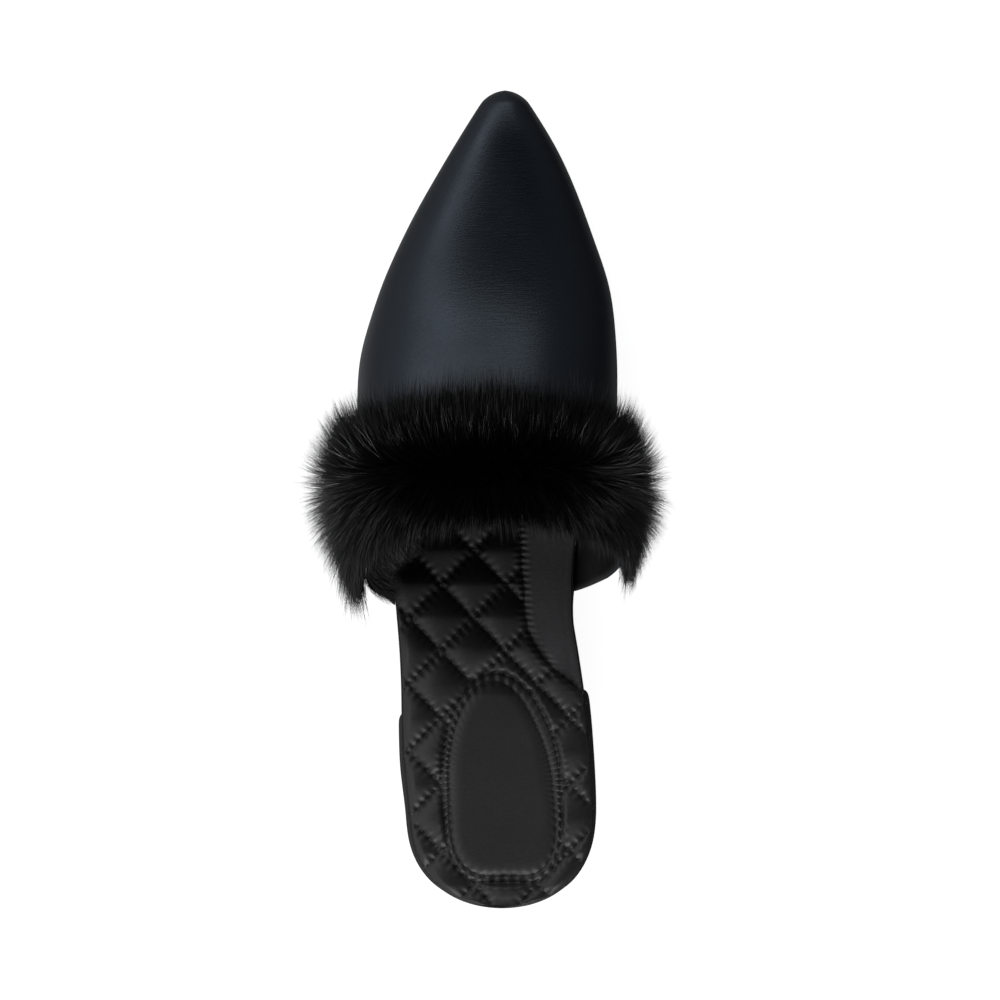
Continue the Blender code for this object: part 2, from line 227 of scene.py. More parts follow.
outsole = fine_form("outsole", "outsole_sheet", 2, 1.0)
dress(outsole, rubber("black_rubber_pebble", RUBBER_PEBBLE), "outsole", "outsole")


# Heel block
# A low moulded rubber block, cemented under the heel seat. It stands a little proud of the insole,
# so its rim shows round the heel from above.

heel = fine_form("heel", "heel_block", 2, 1.0)
dress(heel, rubber("black_rubber_smooth", RUBBER_PEBBLE * 0.5), "heel", "heel")


# Insole
# A foam footbed covered in black satin, quilted in diamonds, with a plain panel under the arch and
# a plain oval at the heel. The seams gather the satin, and each seam shows its stitches. The oval and
# the arch panel take lighter satin than the quilt, as painted light, and the cover's sides take darker
# satin, as painted shade.

HEEL_BACK = cad_low.y  # the back of the shoe, from which every place along the foot is measured
QUILT_BLACK = (0.0185, 0.0175, 0.0185)
# The oval's satin is lighter than the quilt's: painted light on the flat pad, in place of the light that the
# puffed diamonds catch.
OVAL_BLACK_PAINTED_LIGHT = (0.0260, 0.0245, 0.0258)
# The arch panel's satin is more than four times as light as the quilt's: painted light that makes up for the
# shade that the fur casts on it.
PANEL_BLACK_PAINTED_LIGHT = (0.0860, 0.0820, 0.0860)
THREAD_BLACK = (0.012, 0.012, 0.013)
DIAMOND_ACROSS = 0.01027  # half of a diamond's width
DIAMOND_ALONG = 0.01062  # half of its length
LATTICE_X = -0.0290  # one crossing of the seams
LATTICE_ALONG = 0.09335
PUFF = 0.0030  # height of a diamond over its seams
PUFF_POWER = 0.75
FOLDED = 0.65  # how far a diamond is folded across its middle, from 0, a round pillow
FOLD_ROUND = 0.11
FOLD_END_POWER = 2.8  # how late the fold drops towards the diamond's two side corners
SEAM_HALF_WIDTH = 0.0009
STITCH_PITCH = 0.0026
STITCH_LENGTH = 0.0015
STITCH_THICKNESS = 0.00042
PUCKER_REACH = 0.0018  # how far the gathers run out from a seam
PUCKER = 0.00024
OVAL_X = 0.0004
OVAL_ALONG = 0.0425
OVAL_HALF_WIDTH = 0.0188
OVAL_HALF_LENGTH = 0.0335
OVAL_LEAN = -0.0014  # sideways shift of its front end
OVAL_FRONT_POWER = 1.85
OVAL_BACK_POWER = 3.7
OVAL_BAND = 0.0021  # between the oval's two rows of stitches
OVAL_BAND_WIDER = 0.0022  # how much wider the band is at its widest
OVAL_BAND_TURN = 0.85  # turn of that place from the medial side, in radians
OVAL_FRONT_FALL = 0.0019  # how far the pad falls to its front seam
OVAL_FRONT_RUN = 0.0072
OVAL_BACK_FALL = 0.0007
OVAL_BACK_RUN = 0.0040
OVAL_PUFF = 0.0013
PANEL_PUFF = 0.0006
QUILT_END = 0.132  # beyond this the vamp hides the insole
FINE_STEP = 0.00036
COARSE_STEP = 0.003
COLUMNS = 176  # points across the cover
SIDE_STEPS = 7  # and down each of its sides

# Seam of the arch panel: x and place along the foot, front to back
PANEL_SEAM = (
    (0.0066, 0.150),
    (0.0067, 0.116),
    (0.0077, 0.1017),
    (0.0087, 0.0911),
    (0.0119, 0.0837),
    (0.0164, 0.0782),
    (0.0219, 0.0737),
    (0.0300, 0.0665),
)


def smooth_curve(points, count):
    """Points along a smooth curve through a few points."""
    knots = np.array(points, float)
    span = np.concatenate([[0], np.cumsum(np.linalg.norm(np.diff(knots, axis=0), axis=1))])
    tangent = np.gradient(knots, span, axis=0)
    out = []
    for place in np.linspace(0, span[-1], count):
        i = min(int(np.searchsorted(span, place, side="right")) - 1, len(span) - 2)
        gap = span[i + 1] - span[i]
        t = (place - span[i]) / gap
        out.append(
            knots[i] * (1 + 2 * t) * (1 - t) ** 2
            + tangent[i] * gap * t * (1 - t) ** 2
            + knots[i + 1] * t * t * (3 - 2 * t)
            + tangent[i + 1] * gap * t * t * (t - 1)
        )
    return np.array(out)


def frame_rows(node, count):
    """The rings of a lofted solid, front to back, with their points sorted into a closed order."""
    co = np.array([v.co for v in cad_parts[node].data.vertices])
    co = np.unique(co.round(6), axis=0)
    places = np.unique(co[:, 1].round(5))
    rings = [co[abs(co[:, 1] - place) < 2e-5] for place in places]
    return [ring for ring in rings if len(ring) == count]


def insole_base():
    """Edges and heights of the footbed, row by row, read from its solid."""
    rows = []
    for ring in frame_rows("insole", 11):
        order = ring[np.argsort(ring[:, 0])]
        low = ring[:, 2].min()
        top = np.array([p for p in order if p[2] > low + 1e-5])
        rows.append((ring[0, 1] - HEEL_BACK, low, top))
    return rows


base_rows = insole_base()
row_places = np.array([row[0] for row in base_rows])
row_lows = np.array([row[1] for row in base_rows])
row_tops = np.array([row[2] for row in base_rows])


def between_rows(values, places):
    """Smooth values between the rows, by a cubic through the rows' own values."""
    flat = values.reshape(len(values), -1)
    tangent = np.gradient(flat, row_places, axis=0)
    i = np.clip(np.searchsorted(row_places, places, side="right") - 1, 0, len(row_places) - 2)
    gap = row_places[i + 1] - row_places[i]
    t = ((places - row_places[i]) / gap)[:, None]
    gap = gap[:, None]
    out = (
        flat[i] * (1 + 2 * t) * (1 - t) ** 2
        + tangent[i] * gap * t * (1 - t) ** 2
        + flat[i + 1] * t * t * (3 - 2 * t)
        + tangent[i + 1] * gap * t * t * (t - 1)
    )
    return out.reshape((len(places),) + values.shape[1:])


def oval_depth(x, along):
    """How far a point lies outside the heel oval, in metres; below 0 inside."""
    up = (along - OVAL_ALONG) / OVAL_HALF_LENGTH
    across = (x - OVAL_X - OVAL_LEAN * up) / OVAL_HALF_WIDTH
    power = np.where(up > 0, OVAL_FRONT_POWER, OVAL_BACK_POWER)
    radius = (abs(across) ** power + abs(up) ** power) ** (1 / power)
    reach = np.hypot(across * OVAL_HALF_WIDTH, up * OVAL_HALF_LENGTH)
    return reach * (1 - 1 / np.maximum(radius, 1e-3))


def oval_band(x, along):
    """Width of the band between the oval's two seams, at the turn of a point round the oval."""
    turn = np.arctan2((along - OVAL_ALONG) / OVAL_HALF_LENGTH, (x - OVAL_X) / OVAL_HALF_WIDTH)
    return OVAL_BAND + OVAL_BAND_WIDER * np.clip(np.cos(turn - OVAL_BAND_TURN), 0, 1) ** 4


def oval_fall(x, along):
    """How far the heel pad sinks towards the front and the back of its seam."""
    reach = along - OVAL_ALONG
    front = np.clip((reach - OVAL_HALF_LENGTH + OVAL_FRONT_RUN) / OVAL_FRONT_RUN, 0, 1)
    back = np.clip((OVAL_BACK_RUN - OVAL_HALF_LENGTH - reach) / OVAL_BACK_RUN, 0, 1)
    beyond = np.exp(-np.maximum(oval_depth(x, along), 0) / 0.003)
    return (OVAL_FRONT_FALL * front + OVAL_BACK_FALL * back) * beyond


panel_line = smooth_curve(PANEL_SEAM, 160)


def panel_depth(x, along):
    """Signed distance to the arch panel's seam, below 0 on the panel."""
    flat = np.stack([x.ravel(), along.ravel()], axis=1)
    best = np.full(len(flat), 1e9)
    side = np.zeros(len(flat))
    for start, end in zip(panel_line, panel_line[1:]):
        run = end - start
        t = np.clip(((flat - start) @ run) / (run @ run), 0, 1)
        gap = flat - start - t[:, None] * run
        distance = np.hypot(gap[:, 0], gap[:, 1])
        nearer = distance < best
        best[nearer] = distance[nearer]
        side[nearer] = (run[0] * gap[:, 1] - run[1] * gap[:, 0])[nearer]
    return (np.where(side > 0, -1.0, 1.0) * best).reshape(x.shape)


def seam_pinch(distance, phase):
    """Gathers beside a seam: the satin is pulled down at each stitch hole and puckers between."""
    fade = np.exp(-((distance / PUCKER_REACH) ** 2))
    return fade * PUCKER * np.cos(2 * math.pi * phase / STITCH_PITCH)


def quilt_height(x, along):
    """Height of the quilted satin over the foam, with its seams and gathers."""
    p = (x - LATTICE_X) / DIAMOND_ACROSS
    q = (LATTICE_ALONG - along) / DIAMOND_ALONG
    a, b = (p + q) / 2, (p - q) / 2
    slant = math.hypot(1 / DIAMOND_ACROSS, 1 / DIAMOND_ALONG) / 2
    length = math.hypot(DIAMOND_ACROSS, DIAMOND_ALONG)
    near_a = abs(a - np.round(a)) / slant
    near_b = abs(b - np.round(b)) / slant
    pinch = seam_pinch(near_a, b * length) + seam_pinch(near_b, a * length)
    pillow = abs(np.sin(math.pi * a) * np.sin(math.pi * b)) ** PUFF_POWER
    within_a, within_b = a - np.floor(a) - 0.5, b - np.floor(b) - 0.5
    from_fold = np.sqrt((within_a - within_b) ** 2 + FOLD_ROUND**2)
    across = abs(within_a + within_b) ** FOLD_END_POWER
    wall = 1 - np.exp(-np.minimum(near_a, near_b) / SEAM_HALF_WIDTH)
    folded = np.clip(1.05 - from_fold - across, 0, 1) * wall
    return PUFF * (pillow + (folded - pillow) * FOLDED) + pinch


def cover_height(x, along):
    """Height of the whole cover: quilt, arch panel and heel oval, parted by their seams."""
    oval = oval_depth(x, along)
    panel = panel_depth(x, along)
    turn = np.arctan2(along - OVAL_ALONG, x - OVAL_X) * (OVAL_HALF_WIDTH + OVAL_HALF_LENGTH) / 2
    quilt = quilt_height(x, along)
    ease = np.clip(np.minimum(oval, abs(panel)) / 0.0022, 0, 1)
    height = quilt * (ease * (2 - ease)) ** 0.8
    flat_panel = PANEL_PUFF * np.clip(-panel / 0.0025, 0, 1) ** 0.6
    height = np.where(panel < 0, flat_panel, height)
    band_width = oval_band(x, along)
    inside = np.clip((-oval - band_width) / 0.0050, 0, 1)
    plain = OVAL_PUFF * (inside * (2 - inside)) ** 0.7
    band = 0.0007 * np.sqrt(np.clip(np.sin(math.pi * np.clip(-oval / band_width, 0, 1)), 0, 1))
    height = np.where(oval < 0, np.maximum(plain, band), height)
    height += seam_pinch(oval, turn) + seam_pinch(oval + band_width, turn) * 0.6
    height -= oval_fall(x, along)
    height += np.where(oval > 0, seam_pinch(panel, along * 1.3), 0)
    return height


def insole_grid():
    """Grid of the cover: rows along the foot, columns down one side, over the top and down."""
    tip = row_places[-1]
    heel_turn = np.linspace(0, math.pi / 2, 46)[:-1]
    first = row_places[0] + 0.012 * (1 - np.cos(heel_turn))
    fine = np.arange(row_places[0] + 0.012, QUILT_END, FINE_STEP)
    coarse = np.linspace(QUILT_END, tip, int((tip - QUILT_END) / COARSE_STEP))
    places = np.concatenate([first, fine, coarse])
    tops = between_rows(row_tops, places)
    lows = between_rows(row_lows, places)
    columns = np.linspace(0, 1, COLUMNS)
    left, right = tops[:, 0, 0], tops[:, -1, 0]
    grid = np.zeros((len(places), len(columns), 3))
    grid[:, :, 0] = left[:, None] + (right - left)[:, None] * columns
    grid[:, :, 1] = places[:, None] + HEEL_BACK
    return places, lows, tops, columns, grid


def pillow(columns):
    """Fall of the footbed's top towards its two edges, as its solid has it."""
    return (1 - abs(2 * columns - 1) ** 5) ** (1 / 5)


places, lows, tops, columns, grid = insole_grid()
side_top = tops[:, 0, 2]
crown = tops[:, tops.shape[1] // 2, 2]
medial_rise = tops[:, -2, 2] - tops[:, 1, 2]
edge_round = pillow(columns)
grid[:, :, 2] = side_top[:, None] + (crown - side_top)[:, None] * edge_round
grid[:, :, 2] += medial_rise[:, None] * (columns**2 - 0.25) * edge_round
along_grid = np.repeat(places[:, None], len(columns), axis=1)
reach_to_edge = np.minimum(grid[:, :, 0] - grid[:, :1, 0], grid[:, -1:, 0] - grid[:, :, 0])
reach_to_edge = np.minimum(reach_to_edge, along_grid - places[0])
fade_edge = np.clip(0.35 + reach_to_edge / 0.004, 0, 1)
relief = cover_height(grid[:, :, 0], along_grid) - PUFF * 0.50
relief *= fade_edge
relief[along_grid > QUILT_END] *= 0.3
grid[:, :, 2] += relief


def insole_mesh():
    """Close the cover's grid with its two sides and its flat bottom."""
    down = np.linspace(0, 1, SIDE_STEPS + 1)[1:]
    rings = []
    for i in range(len(places)):
        top = grid[i]
        bulge = 0.0003 * np.sin(math.pi * down)
        left = np.repeat(top[:1], SIDE_STEPS, axis=0)
        right = np.repeat(top[-1:], SIDE_STEPS, axis=0)
        left[:, 0] -= bulge
        right[:, 0] += bulge
        for side in (left, right):
            side[:, 2] += (lows[i] - side[:, 2]) * down
        rings.append(np.concatenate([left[::-1], top, right]))
    points = np.concatenate(rings)
    count = len(rings[0])
    faces = []
    for i in range(len(rings) - 1):
        for j in range(count):
            k = (j + 1) % count
            faces.append((i * count + j, i * count + k, (i + 1) * count + k, (i + 1) * count + j))
    faces.append(tuple(range(count - 1, -1, -1)))
    faces.append(tuple(range((len(rings) - 1) * count, len(rings) * count)))
    mesh = bpy.data.meshes.new("insole_cover")
    mesh.from_pydata(points.tolist(), [], faces)
    shape = bmesh.new()
    shape.from_mesh(mesh)
    bmesh.ops.remove_doubles(shape, verts=shape.verts, dist=1e-6)
    bmesh.ops.recalc_face_normals(shape, faces=shape.faces)
    if shape.calc_volume(signed=True) < 0:
        bmesh.ops.reverse_faces(shape, faces=shape.faces)
    shape.to_mesh(mesh)
    shape.free()
    return mesh


def satin_weave_group():
    """Satin weave: threads that run across the foot as uneven streaks, fine grain, slow clouds."""
    group, given, result = new_group(
        "satin_weave",
        (
            ("Streak Width", "NodeSocketFloat", 0.0005),
            ("Streak Length", "NodeSocketFloat", 0.012),
            ("Grain Size", "NodeSocketFloat", 0.0004),
            ("Height", "NodeSocketFloat", 0.00003),
            ("Cloud Size", "NodeSocketFloat", 0.02),
            ("Normal", "NodeSocketVector", None),
        ),
        (("Thread", "NodeSocketFloat"), ("Cloud", "NodeSocketFloat"), ("Normal", "NodeSocketVector")),
    )
    link = group.links.new
    place = add_node(group, "ShaderNodeTexCoord")
    split = add_node(group, "ShaderNodeSeparateXYZ")
    link(place.outputs["Object"], split.inputs["Vector"])
    stretched = add_node(group, "ShaderNodeCombineXYZ")
    for axis, label in (("X", "Streak Length"), ("Y", "Streak Width"), ("Z", "Streak Width")):
        scaled = add_node(group, "ShaderNodeMath", operation="DIVIDE")
        link(split.outputs[axis], scaled.inputs[0])
        link(given.outputs[label], scaled.inputs[1])
        link(scaled.outputs[0], stretched.inputs[axis])
    streak = add_node(group, "ShaderNodeTexNoise", detail=2.0)
    streak.inputs["Scale"].default_value = 1.0
    link(stretched.outputs["Vector"], streak.inputs["Vector"])
    grain_scale = add_node(group, "ShaderNodeMath", operation="DIVIDE")
    grain_scale.inputs[0].default_value = 1.0
    link(given.outputs["Grain Size"], grain_scale.inputs[1])
    grain = add_node(group, "ShaderNodeTexNoise", detail=1.0)
    link(place.outputs["Object"], grain.inputs["Vector"])
    link(grain_scale.outputs[0], grain.inputs["Scale"])
    thread = add_node(group, "ShaderNodeMath", operation="ADD")
    link(streak.outputs["Fac"], thread.inputs[0])
    link(grain.outputs["Fac"], thread.inputs[1])
    halved = add_node(group, "ShaderNodeMapRange")
    halved.inputs["From Min"].default_value = 0.65
    halved.inputs["From Max"].default_value = 1.35
    link(thread.outputs[0], halved.inputs["Value"])
    bump = add_node(group, "ShaderNodeBump")
    link(thread.outputs[0], bump.inputs["Height"])
    link(given.outputs["Height"], bump.inputs["Distance"])
    link(given.outputs["Normal"], bump.inputs["Normal"])
    cloud_scale = add_node(group, "ShaderNodeMath", operation="DIVIDE")
    cloud_scale.inputs[0].default_value = 1.0
    link(given.outputs["Cloud Size"], cloud_scale.inputs[1])
    cloud = add_node(group, "ShaderNodeTexNoise", detail=2.0)
    link(place.outputs["Object"], cloud.inputs["Vector"])
    link(cloud_scale.outputs[0], cloud.inputs["Scale"])
    link(halved.outputs["Result"], result.inputs["Thread"])
    link(cloud.outputs["Fac"], result.inputs["Cloud"])
    link(bump.outputs["Normal"], result.inputs["Normal"])
    return group


satin_weave = satin_weave_group()


def satin(name, colour, roughness, streak, height, contrast, length=0.012, **sockets):
    """Black satin: its threads vary the colour and bump it, its clouds vary the gloss."""
    material, tree, shader = new_material(name, colour, roughness, **sockets)
    weave = place_group(tree, satin_weave, Streak_Width=streak, Streak_Length=length, Height=height)
    tree.links.new(weave.outputs["Normal"], shader.inputs["Normal"])
    tree.links.new(
        vary(tree, weave.outputs["Cloud"], roughness - 0.08, roughness + 0.08),
        shader.inputs["Roughness"],
    )
    tree.links.new(
        vary_colour(tree, weave.outputs["Thread"], grey(colour, 1 - contrast), grey(colour, 1 + contrast)),
        shader.inputs["Base Color"],
    )
    return material


quilt_satin = satin("quilted_black_satin", QUILT_BLACK, 0.50, 0.00045, 0.00003, 0.25, 0.002)
# The cover's steep sides take the quilt satin at 0.4 of its colour and with less gloss: painted shade that
# keeps its rounded edge dark.
side_satin_painted_shade = satin(
    "black_satin_side_painted_shade", grey(QUILT_BLACK, 0.4), 0.75, 0.00045, 0.00003, 0.25, 0.002, Specular_IOR_Level=0.2
)
oval_satin_painted_light = satin("black_satin_oval_painted_light", OVAL_BLACK_PAINTED_LIGHT, 0.50, 0.00045, 0.00002, 0.22, 0.0015)
panel_satin_painted_light = satin("black_satin_panel_painted_light", PANEL_BLACK_PAINTED_LIGHT, 0.50, 0.00045, 0.00002, 0.22, 0.0015)
insole = finished("insole_cover", insole_mesh())
dress(insole, quilt_satin, "insole", "insole")
for cloth in (side_satin_painted_shade, oval_satin_painted_light, panel_satin_painted_light):
    insole.data.materials.append(cloth)


def cloth_and_painted_light_of_faces():
    """Material of each face of the cover: quilt, side (darkened as painted shade), oval and arch panel (both
    lightened as painted light).
    """
    middle = np.array([face.center[:] for face in insole.data.polygons])
    up = np.array([face.normal.z for face in insole.data.polygons])
    x, along = middle[:, 0], middle[:, 1] - HEEL_BACK
    cloth = np.zeros(len(middle), int)
    cloth[panel_depth(x, along) < 0] = 3
    cloth[oval_depth(x, along) < 0] = 2
    # steep faces get the darkened side satin, a painted shade
    cloth[up < 0.35] = 1
    return cloth


insole.data.polygons.foreach_set("material_index", cloth_and_painted_light_of_faces())

cover_tree = BVHTree.FromObject(insole, bpy.context.evaluated_depsgraph_get())


def on_cover(x, along):
    """Point and normal of the cover under a place in plan."""
    hit = cover_tree.ray_cast(Vector((x, along + HEEL_BACK, 0.2)), Vector((0, 0, -1)))
    return hit[0], hit[1]


def stitch_runs():
    """Centres and directions of the stitches along every seam, in plan."""
    found = []

    def add(points, keep):
        points = np.array(points)
        run = np.linalg.norm(np.diff(points, axis=0), axis=1)
        total = np.concatenate([[0], np.cumsum(run)])
        for place in np.arange(STITCH_PITCH / 2, total[-1], STITCH_PITCH):
            i = min(int(np.searchsorted(total, place)) - 1, len(run) - 1)
            t = (place - total[i]) / run[i]
            centre = points[i] + (points[i + 1] - points[i]) * t
            if keep(np.array([centre[0]]), np.array([centre[1]]))[0]:
                found.append((centre, (points[i + 1] - points[i]) / run[i]))

    def on_quilt(x, along):
        return (oval_depth(x, along) > 0.0012) & (panel_depth(x, along) > 0.0012) & (along < QUILT_END - 0.01)

    def anywhere(x, along):
        return along < QUILT_END - 0.01

    def off_oval(x, along):
        return (oval_depth(x, along) > 0.0) & (along < QUILT_END - 0.01)

    step = np.array([DIAMOND_ACROSS, -DIAMOND_ALONG])
    for lean in (1, -1):
        run = step * np.array([lean, 1])
        for n in range(-16, 17):
            start = np.array([LATTICE_X + 2 * n * DIAMOND_ACROSS, LATTICE_ALONG]) - run * 9
            add([start, start + run * 22], on_quilt)
    turn = np.linspace(0, 2 * math.pi, 400)
    for inner in (0.0, 1.0):
        ring = []
        for angle in turn:
            way = np.array([math.cos(angle), math.sin(angle)])
            low, high = 0.0, 0.05
            for _ in range(22):
                middle = (low + high) / 2
                spot = np.array([OVAL_X + way[0] * middle]), np.array([OVAL_ALONG + way[1] * middle])
                inset = inner * oval_band(*spot)[0]
                low, high = (middle, high) if oval_depth(*spot)[0] < -inset else (low, middle)
            ring.append((OVAL_X + way[0] * low, OVAL_ALONG + way[1] * low))
        add(ring, anywhere)
    add(panel_line, off_oval)
    return found


def stitch_mesh(name, stitches, surface, sink):
    """Small rounded stitches, joined into one mesh."""
    sides = 6
    rings = ((-0.5, 0.25), (-0.36, 0.85), (0.0, 1.0), (0.36, 0.85), (0.5, 0.25))
    points, faces = [], []
    for centre, way in stitches:
        place, normal = surface(*centre)
        if place is None:
            continue
        ahead = Vector((way[0], way[1], 0)).normalized()
        ahead = (ahead - normal * ahead.dot(normal)).normalized()
        across = normal.cross(ahead)
        first = len(points)
        for reach, width in rings:
            for k in range(sides):
                angle = 2 * math.pi * k / sides
                off = across * math.cos(angle) + normal * math.sin(angle)
                lift = normal * (STITCH_THICKNESS * (0.5 - sink) - 0.0002 * abs(reach))
                points.append(
                    place + ahead * reach * STITCH_LENGTH + off * width * STITCH_THICKNESS / 2 + lift
                )
        for r in range(len(rings) - 1):
            for k in range(sides):
                j = (k + 1) % sides
                corner = first + r * sides
                faces.append((corner + k, corner + j, corner + sides + j, corner + sides + k))
        faces.append(tuple(first + k for k in reversed(range(sides))))
        faces.append(tuple(first + (len(rings) - 1) * sides + k for k in range(sides)))
    mesh = bpy.data.meshes.new(name)
    mesh.from_pydata([tuple(p) for p in points], [], faces)
    return mesh


def thread(name, colour):
    material, tree, shader = new_material(name, colour, 0.42, Sheen_Weight=0.3)
    grain = place_group(tree, fine_grain, Size=0.0003, Height=0.00005)
    tree.links.new(grain.outputs["Normal"], shader.inputs["Normal"])
    tree.links.new(vary(tree, grain.outputs["Mask"], 0.32, 0.5), shader.inputs["Roughness"])
    return material


black_thread = thread("black_thread", THREAD_BLACK)
stitches = finished("insole_stitches", stitch_mesh("insole_stitches", stitch_runs(), on_cover, 0.2))
dress(stitches, black_thread, "insole")


# Upper
# One satin vamp with its lining, lasted over a pointed last and drawn in under the insole. It is
# smooth but for a few soft troughs where the satin gives over the toes and the instep.

VAMP_SATIN = (0.0021, 0.0030, 0.0053)
LINING_BLACK = (0.006, 0.006, 0.0065)
INSTEP_CROWN = 0.166  # place along the foot where the satin stands highest over the last
TOE_TROUGH = 0.196  # and where it lies lowest
WAVE_HEIGHT = 0.0009
SPINE_HEIGHT = 0.022  # of the line through the foot from which the wall's inside is told
SPINE_END = 0.250  # place along the foot where that line ends
TIP_HEIGHT = 0.0125  # and its height at the tip
EDGE_PULL = 0.0017  # how far the lasting edge is drawn in
EDGE_RISE = 0.0060  # height over which the pull dies out
EDGE_FRONT = 0.135
EDGE_RUN = 0.012

vamp = fine_form("upper", "vamp", 2, 0.6)
vamp_satin = satin(
    "blue_black_satin", VAMP_SATIN, 0.32, 0.00050, 0.00003, 0.5, 0.005,
    Specular_IOR_Level=0.45, Specular_Tint=(0.70, 0.84, 1.0, 1.0),
)
lining = satin("black_lining", LINING_BLACK, 0.6, 0.0006, 0.00003, 0.3)


def soft_wave(along, crown, trough):
    """A rise and a fall along the foot: 1 at the crown, -1 at the trough, 0 well away from both."""
    span = trough - crown
    rise = np.exp(-(((along - crown) / span) ** 2) * 2)
    fall = np.exp(-(((along - trough) / span) ** 2) * 2)
    return rise - fall


def settle_vamp():
    """Draw the open wall's lowest edge in against the insole, and ease the satin over the toes."""
    mesh = vamp.data
    count = len(mesh.vertices)
    spots = np.empty(count * 3)
    mesh.vertices.foreach_get("co", spots)
    spots = spots.reshape(-1, 3)
    normals = np.empty(count * 3)
    mesh.vertices.foreach_get("normal", normals)
    along = spots[:, 1] - HEEL_BACK
    rise = spots[:, 2] - np.interp(along, row_places, row_lows)
    low = np.clip(1 - (rise + 0.0005) / EDGE_RISE, 0, 1)
    rear = np.clip((EDGE_FRONT - along) / EDGE_RUN, 0, 1)
    spots[:, 0] -= np.sign(spots[:, 0]) * EDGE_PULL * low * rear
    up = abs(normals.reshape(-1, 3)[:, 2])
    high = np.clip((up - 0.15) / 0.6, 0, 1) * np.clip((rise - 0.004) / 0.006, 0, 1)
    spots[:, 2] += WAVE_HEIGHT * soft_wave(along, INSTEP_CROWN, TOE_TROUGH) * high
    mesh.vertices.foreach_set("co", spots.ravel())
    mesh.update()


settle_vamp()
dress(vamp, vamp_satin, "upper", "upper")
vamp.data.materials.append(lining)


def line_inside():
    """Give the faces that look towards the foot the lining."""
    middle = np.array([face.center[:] for face in vamp.data.polygons])
    outward = np.array([face.normal[:] for face in vamp.data.polygons])
    along = middle[:, 1] - HEEL_BACK
    spine = np.interp(along, (TOE_TROUGH, SPINE_END), (SPINE_HEIGHT, TIP_HEIGHT))
    from_foot = np.stack([middle[:, 0], np.maximum(along - SPINE_END, 0), middle[:, 2] - spine], axis=1)
    inside = (outward * from_foot).sum(axis=1) < 0
    vamp.data.polygons.foreach_set("material_index", inside.astype(int))


line_inside()


# Fur collar
# A strip of black fur on its hide, sewn round the topline from sole to sole. Short dense underhair
# fills it, and long guard hairs fan out over both its edges and hang at the sides.

FUR_BLACK = (0.0014, 0.0014, 0.0016)
FUR_FRONT_CREST = 0.154
FUR_FRONT_SIDE = 0.146
FUR_LOW_TURN = -4.0  # degrees above the floor's plane at which the strip ends, seen from the foot
TURN_COLUMNS = 73
PLACE_ROWS = 25
LIP_SHARE = 0.20  # share of the strip, at its rear, whose hairs hang over the topline
LIP_END = 0.30  # share round the strip, from the lateral end, with hair turned over the topline
PELT_DEPTH = 0.0045
SPINE_X = -0.003

upper_tree = BVHTree.FromObject(vamp, bpy.context.evaluated_depsgraph_get())


def on_vamp(along, turn):
    """Outermost point and normal of the vamp at a place along the foot and a turn over it."""
    way = Vector((-math.cos(turn), 0, math.sin(turn)))
    start = Vector((SPINE_X, along + HEEL_BACK, SPINE_HEIGHT)) + way * 0.12
    hit = upper_tree.ray_cast(start, -way, 0.11)
    return hit[0], hit[1]


def topline(turn):
    """Rearmost place along the foot at which the vamp is met."""
    for along in np.arange(0.090, 0.150, 0.0005):
        if on_vamp(along, turn)[0] is not None:
            return along
    return 0.150


def fur_strip():
    """Points, normals and forward ways over the strip, by turn and place across it."""
    low = math.radians(FUR_LOW_TURN)
    turns = np.linspace(low, math.pi - low, TURN_COLUMNS)
    rear = np.array([topline(t) for t in turns])
    rear = np.convolve(np.pad(rear, 3, mode="edge"), np.ones(7) / 7, mode="valid")
    crest = np.clip(np.sin(turns), 0, 1)
    front = FUR_FRONT_SIDE + (FUR_FRONT_CREST - FUR_FRONT_SIDE) * crest
    points = np.zeros((TURN_COLUMNS, PLACE_ROWS, 3))
    normals = np.zeros_like(points)
    for i, turn in enumerate(turns):
        for j, place in enumerate(np.linspace(0.0, 1, PLACE_ROWS)):
            along = rear[i] + (front[i] - rear[i]) * place
            spot, normal = on_vamp(along + 0.0006, turn)
            if spot is None:
                spot, normal = points[i, j - 1], normals[i, j - 1]
            points[i, j] = spot
            normals[i, j] = normal
    return turns, points, normals


strip_turns, strip_points, strip_normals = fur_strip()
strip_forward = np.gradient(strip_points, axis=1)
strip_forward /= np.linalg.norm(strip_forward, axis=2, keepdims=True)


def strip_at(u, v, field):
    """Values of a field of the strip at shares u round it and v across it."""
    i = np.clip(u * (TURN_COLUMNS - 1), 0, TURN_COLUMNS - 1.001)
    j = np.clip(v * (PLACE_ROWS - 1), 0, PLACE_ROWS - 1.001)
    i0, j0 = i.astype(int), j.astype(int)
    fi, fj = (i - i0)[:, None], (j - j0)[:, None]
    near = field[i0, j0] * (1 - fj) + field[i0, j0 + 1] * fj
    far = field[i0 + 1, j0] * (1 - fj) + field[i0 + 1, j0 + 1] * fj
    return near * (1 - fi) + far * fi


def unit(vectors):
    return vectors / np.maximum(np.linalg.norm(vectors, axis=-1, keepdims=True), 1e-9)


